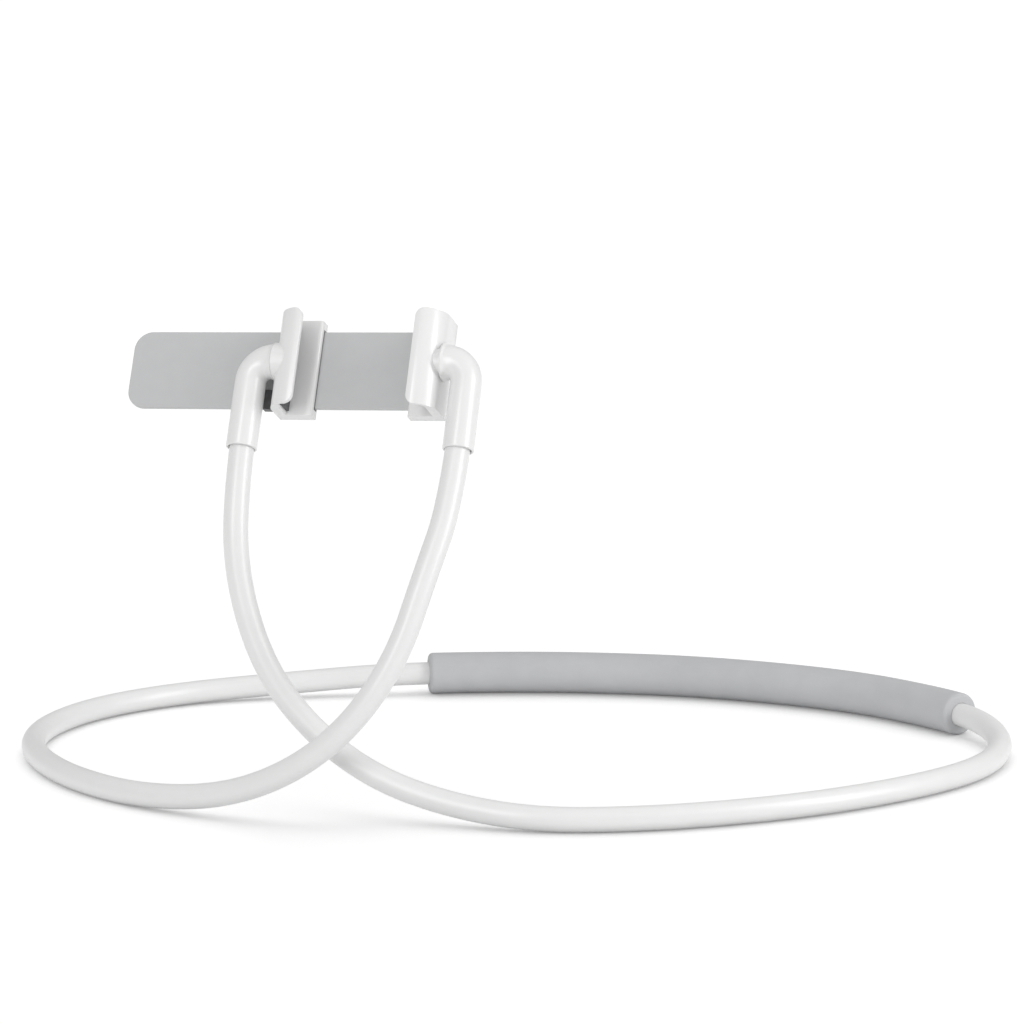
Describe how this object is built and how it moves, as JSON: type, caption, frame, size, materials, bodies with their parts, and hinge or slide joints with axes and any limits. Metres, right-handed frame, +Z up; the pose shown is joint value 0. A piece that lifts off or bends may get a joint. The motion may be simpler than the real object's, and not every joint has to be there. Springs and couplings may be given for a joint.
{
  "type": "neck phone holder",
  "caption": "Hands-free neck phone holder: a bendable white tube loops round the neck with a grey foam sleeve, and its two ends carry a tilting, sliding phone clamp.",
  "frame": {"origin": "on the floor that the loop lies on, at the centre of the part's bounding box", "axes": "+X level, from the sliding jaw towards the fixed jaw, -Y the way the clamp faces, +Z up"},
  "size_m": [0.488, 0.3356, 0.2376],
  "materials": {
    "white_plastic": "smooth injection-moulded gloss",
    "white_silicone": "satin silicone skin",
    "grey_foam": "fine closed-cell foam",
    "grey_plate": "satin",
    "dark_pad": "matte ribbed silicone",
    "dark_liner": "matte sliding plastic",
    "steel": "plated",
    "core_aluminium": "drawn wire"
  },
  "bodies": {
    "neck": {"neck_tube": "white_silicone", "core_wire": "core_aluminium", "neck_foam": "grey_foam", "right_elbow": "white_plastic", "right_core_ferrule": "steel", "right_grub_screw": "steel", "right_pivot_screw": "steel", "right_friction_washer": "white_plastic", "right_spring_washer": "steel"},
    "left_arm": {"left_elbow": "white_plastic", "left_core_ferrule": "steel", "left_grub_screw": "steel", "left_pivot_screw": "steel", "left_friction_washer": "white_plastic", "left_spring_washer": "steel"},
    "head": {"back_plate": "grey_plate", "right_jaw": "white_plastic", "right_pad": "dark_pad", "right_rear_cover": "white_plastic", "right_cover_screws": "steel", "plate_screws": "steel"},
    "left_jaw": {"left_jaw": "white_plastic", "left_pad": "dark_pad", "guide_liner": "dark_liner", "left_rear_cover": "white_plastic", "left_cover_screws": "steel", "leaf_spring": "steel", "stop_screw": "steel"}
  },
  "joints": [
    {"name": "head_tilt", "type": "hinge", "parent": "neck", "child": "head", "pos_m": [-0.04753, -0.08913, 0.2104], "axis": [0.9993, 0, 0.0384], "range_deg": [-4, 184]},
    {"name": "jaw_slide", "type": "slide", "parent": "head", "child": "left_jaw", "axis": [-0.9993, 0, -0.0384], "range_m": [-0.016, 0.065]},
    {"name": "left_elbow_slide", "type": "slide", "parent": "neck", "child": "left_arm", "axis": [-0.9993, 0, -0.0384], "range_m": [-0.016, 0.065], "deforming": ["neck_tube", "core_wire"]}
  ],
  "couplings": [
    {"joint": "left_elbow_slide", "follows": "jaw_slide", "ratio": 1}
  ]
}
